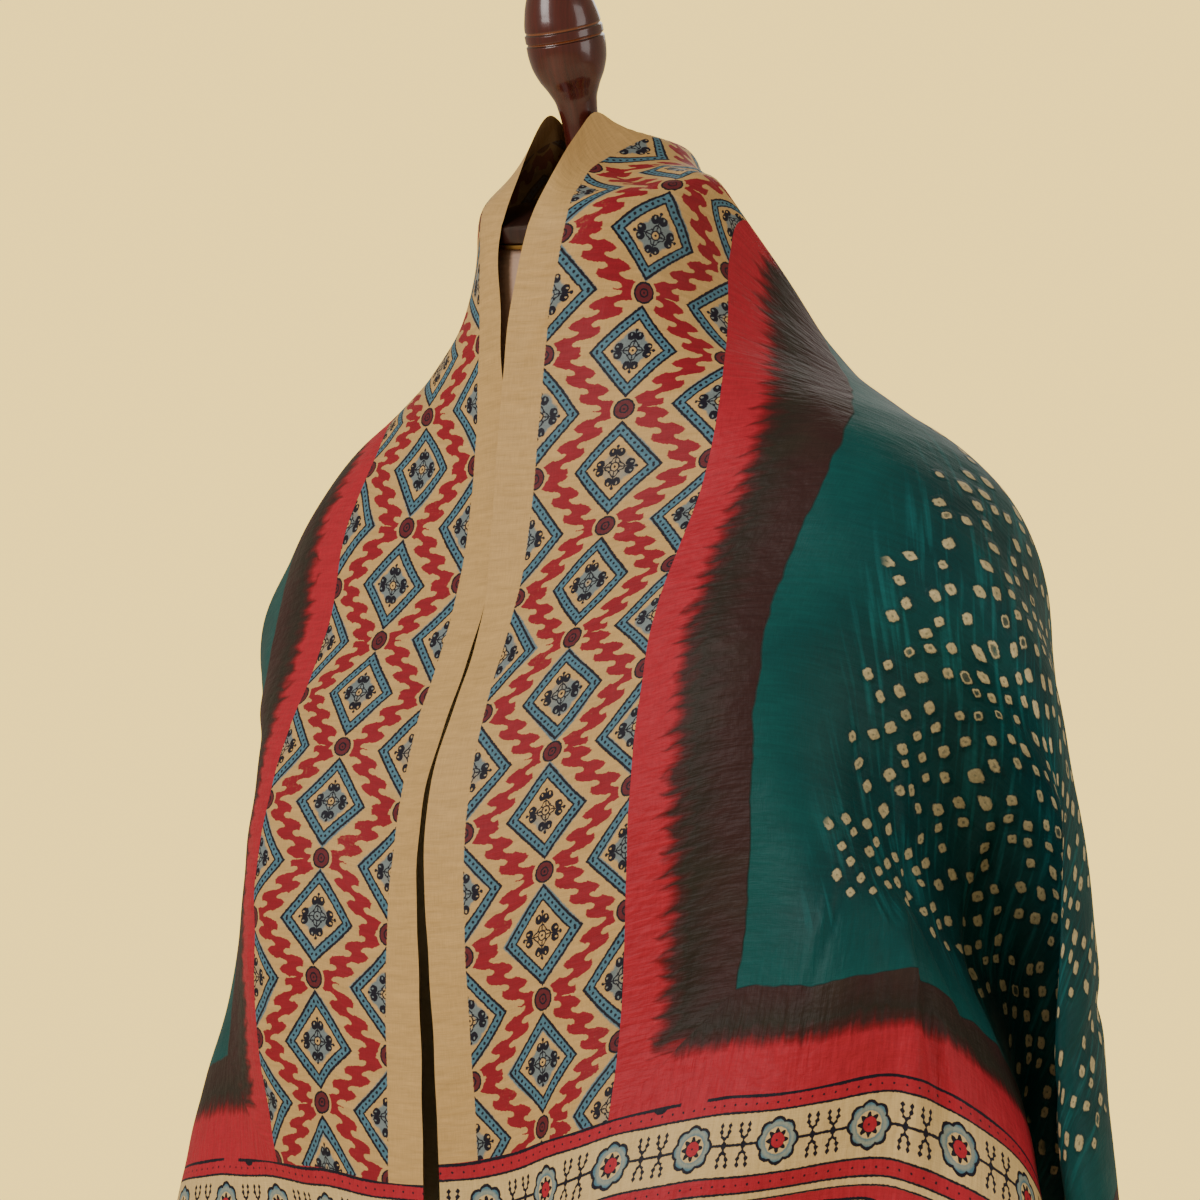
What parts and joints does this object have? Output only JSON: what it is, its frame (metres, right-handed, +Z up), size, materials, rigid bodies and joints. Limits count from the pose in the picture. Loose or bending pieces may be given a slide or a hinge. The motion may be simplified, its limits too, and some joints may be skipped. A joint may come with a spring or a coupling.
{
  "type": "bandhani shawl on dress form",
  "caption": "Long printed and tie-dyed silk shawl standing round the neck of a headless dress form and hanging over both of its shoulders.",
  "frame": {"origin": "centre of the foot's underside, where the stand meets the floor", "axes": "+Z up along the pole, the dress form faces -Y, the form's left is +X"},
  "size_m": [0.6455, 0.3915, 1.5475],
  "materials": {
    "shawl": "crinkled silk, dyed teal, madder red and cream, soft sheen",
    "jersey": "matte knitted cover",
    "band": "satin",
    "cap": "dark, waxed",
    "finial": "turned and lacquered, glossy",
    "stand": "dark, satin"
  },
  "bodies": {
    "root": {"shawl": "shawl", "form_body": "jersey", "neck_band": "band", "neck_cap": "cap", "finial": "finial", "pole": "stand", "foot": "stand"}
  },
  "joints": []
}
